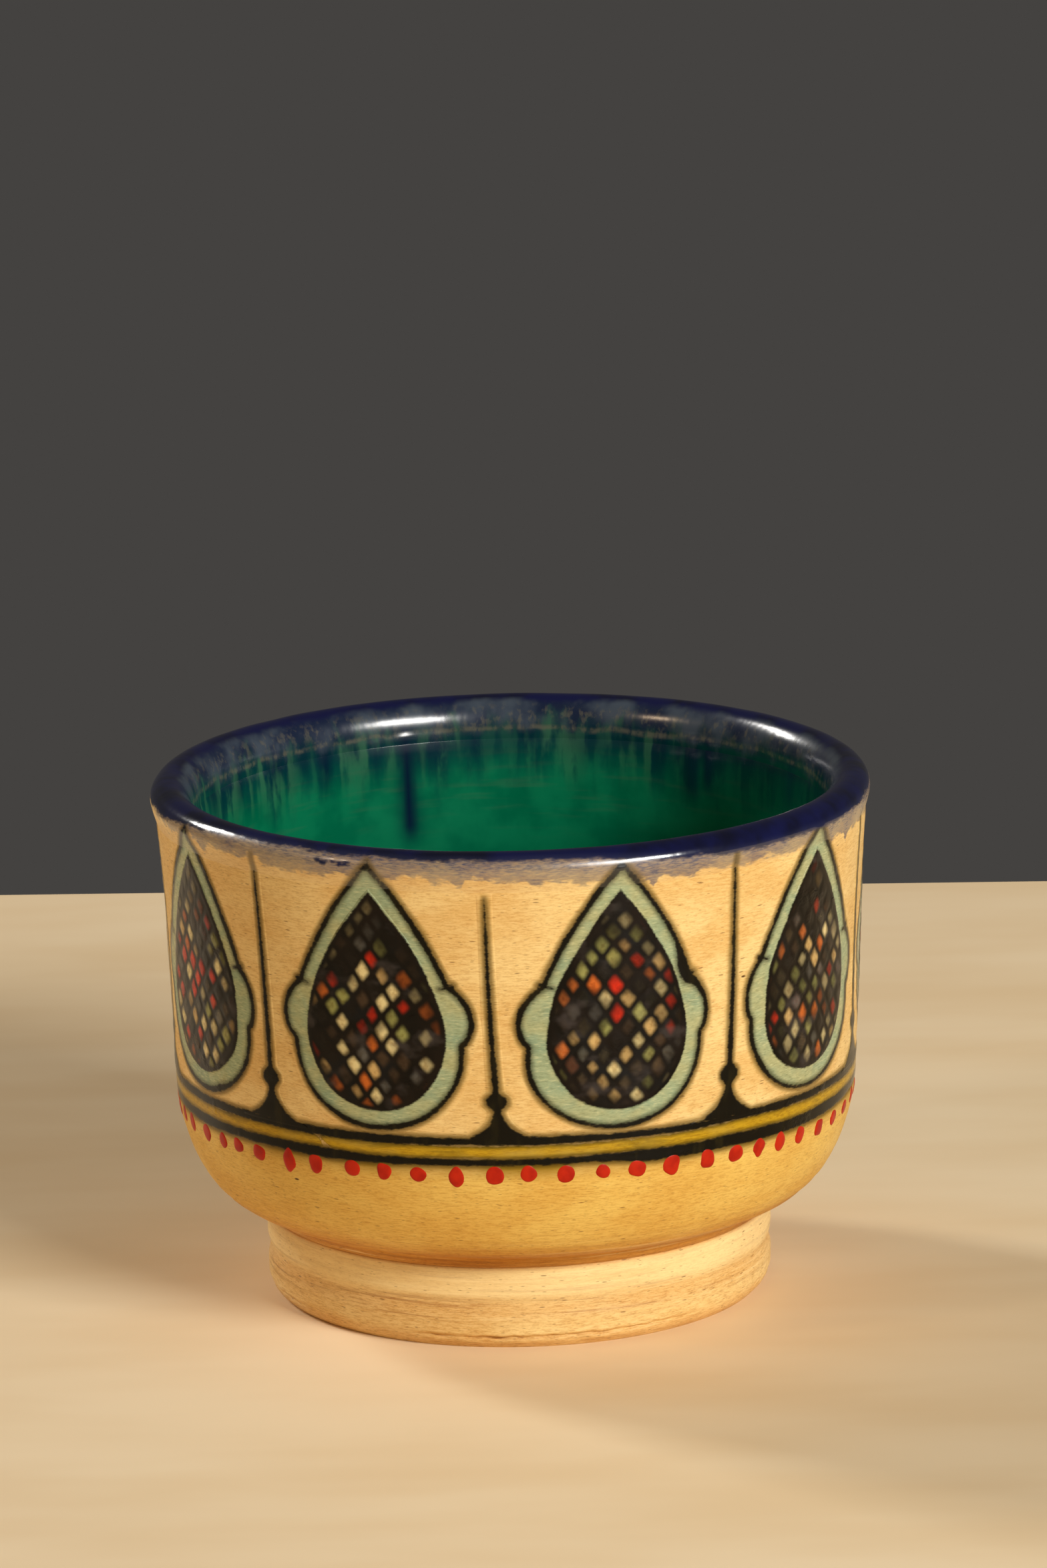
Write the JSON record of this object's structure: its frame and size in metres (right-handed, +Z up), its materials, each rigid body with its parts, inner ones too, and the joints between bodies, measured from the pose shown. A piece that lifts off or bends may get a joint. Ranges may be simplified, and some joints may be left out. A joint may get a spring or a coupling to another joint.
{
  "type": "footed ceramic cup",
  "caption": "Handleless footed cup of buff clay with a cobalt rim, green lining and painted drops, spires and bands round its wall.",
  "frame": {"origin": "middle of the flat ring that the foot stands on", "axes": "+Z up along the cup's axis, -Y towards the viewer of the picture, +X to the viewer's right"},
  "size_m": [0.09, 0.09, 0.066],
  "materials": {
    "buff_clay": "satin honey-buff clay with fine turning grain and dark specks",
    "cobalt_glaze": "glossy dark cobalt, thin and lavender-grey at its lower edge",
    "green_glaze": "glossy emerald green with blue and olive runs below the rim",
    "black_line": "brushed brown-black pigment with soft edges",
    "yellow_enamel": "thin satin yellow enamel",
    "celadon_enamel": "pale grey-green enamel with black outline",
    "lattice_enamel": "glossy dark enamel with a lattice of small coloured cells"
  },
  "bodies": {
    "root": {"bowl": "buff_clay", "foot_ring": "buff_clay", "rim_glaze": "cobalt_glaze", "liner_glaze": "green_glaze", "lower_line": "black_line", "yellow_band": "yellow_enamel", "upper_line": "black_line", "drop_1_border": "celadon_enamel", "drop_1_field": "lattice_enamel", "spire_1": "black_line", "drop_2_border": "celadon_enamel", "drop_2_field": "lattice_enamel", "spire_2": "black_line", "drop_3_border": "celadon_enamel", "drop_3_field": "lattice_enamel", "spire_3": "black_line", "drop_4_border": "celadon_enamel", "drop_4_field": "lattice_enamel", "spire_4": "black_line", "drop_5_border": "celadon_enamel", "drop_5_field": "lattice_enamel", "spire_5": "black_line", "drop_6_border": "celadon_enamel", "drop_6_field": "lattice_enamel", "spire_6": "black_line", "drop_7_border": "celadon_enamel", "drop_7_field": "lattice_enamel", "spire_7": "black_line", "drop_8_border": "celadon_enamel", "drop_8_field": "lattice_enamel", "spire_8": "black_line", "drop_9_border": "celadon_enamel", "drop_9_field": "lattice_enamel", "spire_9": "black_line"}
  },
  "joints": []
}
